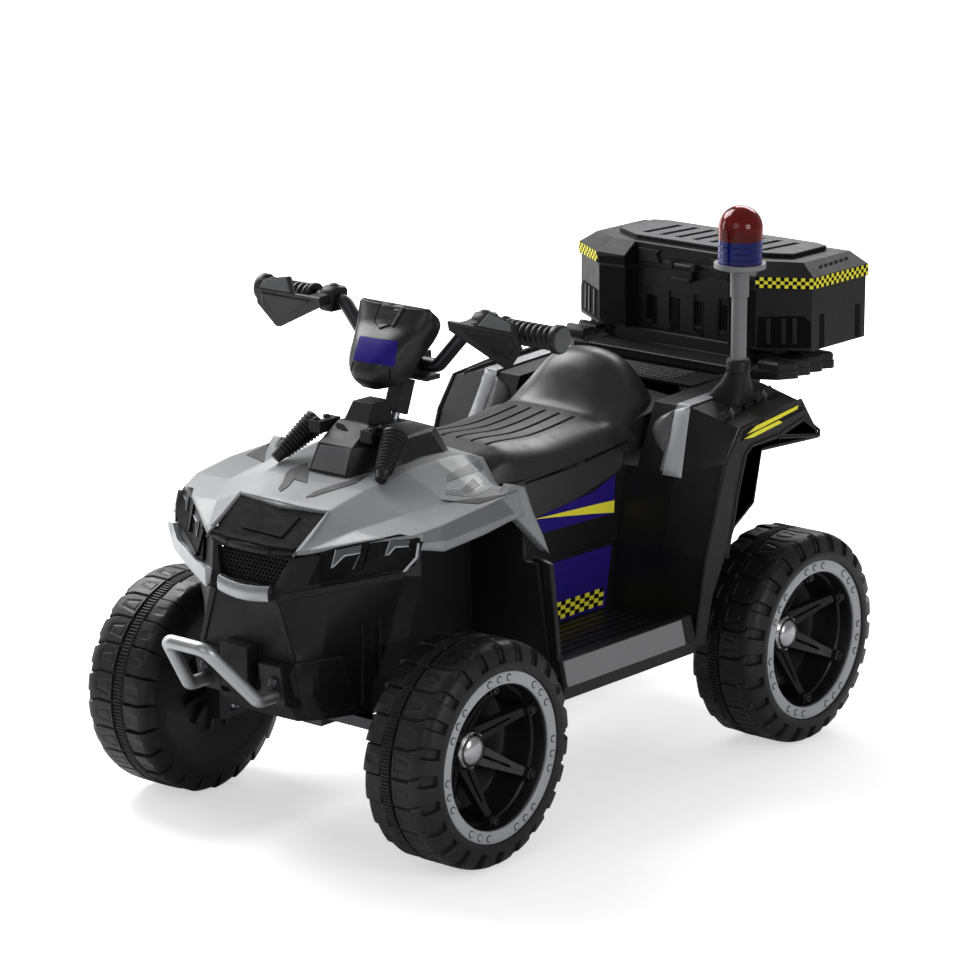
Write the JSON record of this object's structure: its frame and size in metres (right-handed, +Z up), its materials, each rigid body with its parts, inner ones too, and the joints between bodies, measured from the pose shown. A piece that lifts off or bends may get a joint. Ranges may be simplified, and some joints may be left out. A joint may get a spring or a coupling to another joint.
{
  "type": "kids quad bike",
  "caption": "Child's ride-on electric quad bike with steering linkage, geared rear drive, moulded seat, tube bumper, lidded storage box at the rear and a beacon on a mast.",
  "frame": {"origin": "on the ground, on the centre plane, midway between the front and rear axles", "axes": "+Z up, -Y forward, +X to the rider's left"},
  "size_m": [0.568, 1.142, 0.712],
  "materials": {
    "body_grey": "satin moulded polypropylene",
    "body_black": "fine grained moulded plastic",
    "seat_black": "satin moulded plastic",
    "lid_black": "grained moulded plastic",
    "guard_grey": "satin moulded plastic",
    "trim_grey": "satin grey plastic",
    "trim_silver": "silver painted plastic",
    "bright_steel": "satin plated",
    "tube_dark": "dark grey powder coat",
    "lamp_clear": "clear lens",
    "mesh_black": "matt",
    "rubber_black": "soft matt",
    "lens_red": "tinted clear",
    "lens_blue": "tinted clear",
    "steel": "zinc plated",
    "gear_white": "nylon",
    "drive_black": "moulded",
    "motor_can": "plated can",
    "switch_red": "gloss",
    "switch_grey": "gloss",
    "tyre": "blow-moulded plastic tyre, matt",
    "rim_black": "satin black",
    "ring_silver": "silver painted plastic"
  },
  "bodies": {
    "chassis": {"chassis_tub": "body_black", "front_cowl": "body_grey", "front_fascia": "body_black", "headlights": "lamp_clear", "chin_trim": "trim_silver", "grille_mesh": "mesh_black", "badge_panel": "body_black", "bumper_bar": "bright_steel", "body_bolts": "bright_steel", "steering_pedestal": "body_black", "boots": "rubber_black", "seat": "seat_black", "sill_trims": "trim_grey", "rear_cowl": "body_black", "fender_trims": "trim_silver", "rear_rack": "body_black", "trunk_base": "body_black", "beacon_foot": "body_black", "beacon_pole": "trim_grey", "beacon_lens_blue": "lens_blue", "beacon_dome_red": "lens_red", "beacon_lamp": "lamp_clear", "front_axle_beam": "tube_dark", "rear_axle": "steel", "gear_housings": "drive_black", "drive_motors": "motor_can", "battery": "drive_black", "control_box": "drive_black"},
    "steering": {"steering_shaft": "steel", "column_clamp": "body_black", "handlebar": "tube_dark", "dash_pod": "body_black", "grips": "rubber_black", "hand_guards": "guard_grey", "lever_perches": "body_black"},
    "knuckle_left": {"knuckle_left": "steel"},
    "knuckle_right": {"knuckle_right": "steel"},
    "tie_rod": {"tie_rod": "steel"},
    "wheel_front_left": {"tyre_front_left": "tyre", "rim_front_left": "rim_black", "wheel_trim_front_left": "ring_silver"},
    "wheel_front_right": {"tyre_front_right": "tyre", "rim_front_right": "rim_black", "wheel_trim_front_right": "ring_silver"},
    "wheel_rear_left": {"tyre_rear_left": "tyre", "rim_rear_left": "rim_black", "wheel_trim_rear_left": "ring_silver", "drive_gear_left": "gear_white"},
    "wheel_rear_right": {"tyre_rear_right": "tyre", "rim_rear_right": "rim_black", "wheel_trim_rear_right": "ring_silver", "drive_gear_right": "gear_white"},
    "motor_pinion_left": {"motor_pinion_left": "gear_white"},
    "motor_pinion_right": {"motor_pinion_right": "gear_white"},
    "trunk_lid": {"trunk_lid": "lid_black"},
    "trunk_latch": {"trunk_latch": "lid_black"},
    "pedal": {"pedal": "rubber_black"},
    "power_button": {"power_button": "switch_red"},
    "direction_rocker": {"direction_rocker": "switch_grey"},
    "horn_button": {"horn_button": "switch_grey"}
  },
  "joints": [
    {"name": "steering_turn", "type": "hinge", "parent": "chassis", "child": "steering", "pos_m": [0, -0.188, 0.487], "axis": [0, 0.342, 0.9397], "range_deg": [-20, 20]},
    {"name": "kingpin_left", "type": "hinge", "parent": "chassis", "child": "knuckle_left", "pos_m": [0.156, -0.3205, 0.14], "axis": [0, 0, 1], "range_deg": [-20, 20]},
    {"name": "kingpin_right", "type": "hinge", "parent": "chassis", "child": "knuckle_right", "pos_m": [-0.156, -0.3205, 0.14], "axis": [0, 0, 1], "range_deg": [-20, 20]},
    {"name": "tie_rod_slide", "type": "slide", "parent": "chassis", "child": "tie_rod", "axis": [1, 0, 0], "range_m": [-0.0145, 0.0145]},
    {"name": "wheel_spin_front_left", "type": "hinge", "parent": "knuckle_left", "child": "wheel_front_left", "pos_m": [0.2295, -0.3205, 0.14], "axis": [1, 0, 0], "continuous": true},
    {"name": "wheel_spin_front_right", "type": "hinge", "parent": "knuckle_right", "child": "wheel_front_right", "pos_m": [-0.2295, -0.3205, 0.14], "axis": [1, 0, 0], "continuous": true},
    {"name": "wheel_spin_rear_left", "type": "hinge", "parent": "chassis", "child": "wheel_rear_left", "pos_m": [0.2295, 0.3205, 0.14], "axis": [1, 0, 0], "continuous": true},
    {"name": "wheel_spin_rear_right", "type": "hinge", "parent": "chassis", "child": "wheel_rear_right", "pos_m": [-0.2295, 0.3205, 0.14], "axis": [1, 0, 0], "continuous": true},
    {"name": "pinion_spin_left", "type": "hinge", "parent": "chassis", "child": "motor_pinion_left", "pos_m": [0.155, 0.27807, 0.18243], "axis": [1, 0, 0], "continuous": true},
    {"name": "pinion_spin_right", "type": "hinge", "parent": "chassis", "child": "motor_pinion_right", "pos_m": [-0.155, 0.27807, 0.18243], "axis": [1, 0, 0], "continuous": true},
    {"name": "lid_hinge", "type": "hinge", "parent": "chassis", "child": "trunk_lid", "pos_m": [0, 0.5666, 0.577], "axis": [-1, 0, 0], "range_deg": [0, 95]},
    {"name": "latch_hinge", "type": "hinge", "parent": "trunk_lid", "child": "trunk_latch", "pos_m": [0, 0.4, 0.586], "axis": [-1, 0, 0], "range_deg": [0, 60]},
    {"name": "pedal_hinge", "type": "hinge", "parent": "chassis", "child": "pedal", "pos_m": [-0.165, -0.066, 0.204], "axis": [1, 0, 0], "range_deg": [0, 15], "stiffness_Nm_per_rad": 2, "springref_deg": -8.59},
    {"name": "power_press", "type": "slide", "parent": "steering", "child": "power_button", "axis": [0, -1, 0], "range_m": [0, 0.0025], "stiffness_N_per_m": 400, "springref_m": -0.002},
    {"name": "horn_press", "type": "slide", "parent": "steering", "child": "horn_button", "axis": [0, -1, 0], "range_m": [0, 0.003], "stiffness_N_per_m": 400, "springref_m": -0.002},
    {"name": "direction_rock", "type": "hinge", "parent": "steering", "child": "direction_rocker", "pos_m": [0.026, -0.171, 0.606], "axis": [0, 0, 1], "range_deg": [-8, 8]}
  ],
  "couplings": [
    {"joint": "kingpin_left", "follows": "steering_turn", "ratio": 1},
    {"joint": "kingpin_right", "follows": "steering_turn", "ratio": 1},
    {"joint": "tie_rod_slide", "follows": "steering_turn", "m_per_rad": -0.04},
    {"joint": "pinion_spin_left", "follows": "wheel_spin_rear_left", "ratio": -4},
    {"joint": "pinion_spin_right", "follows": "wheel_spin_rear_right", "ratio": -4}
  ]
}
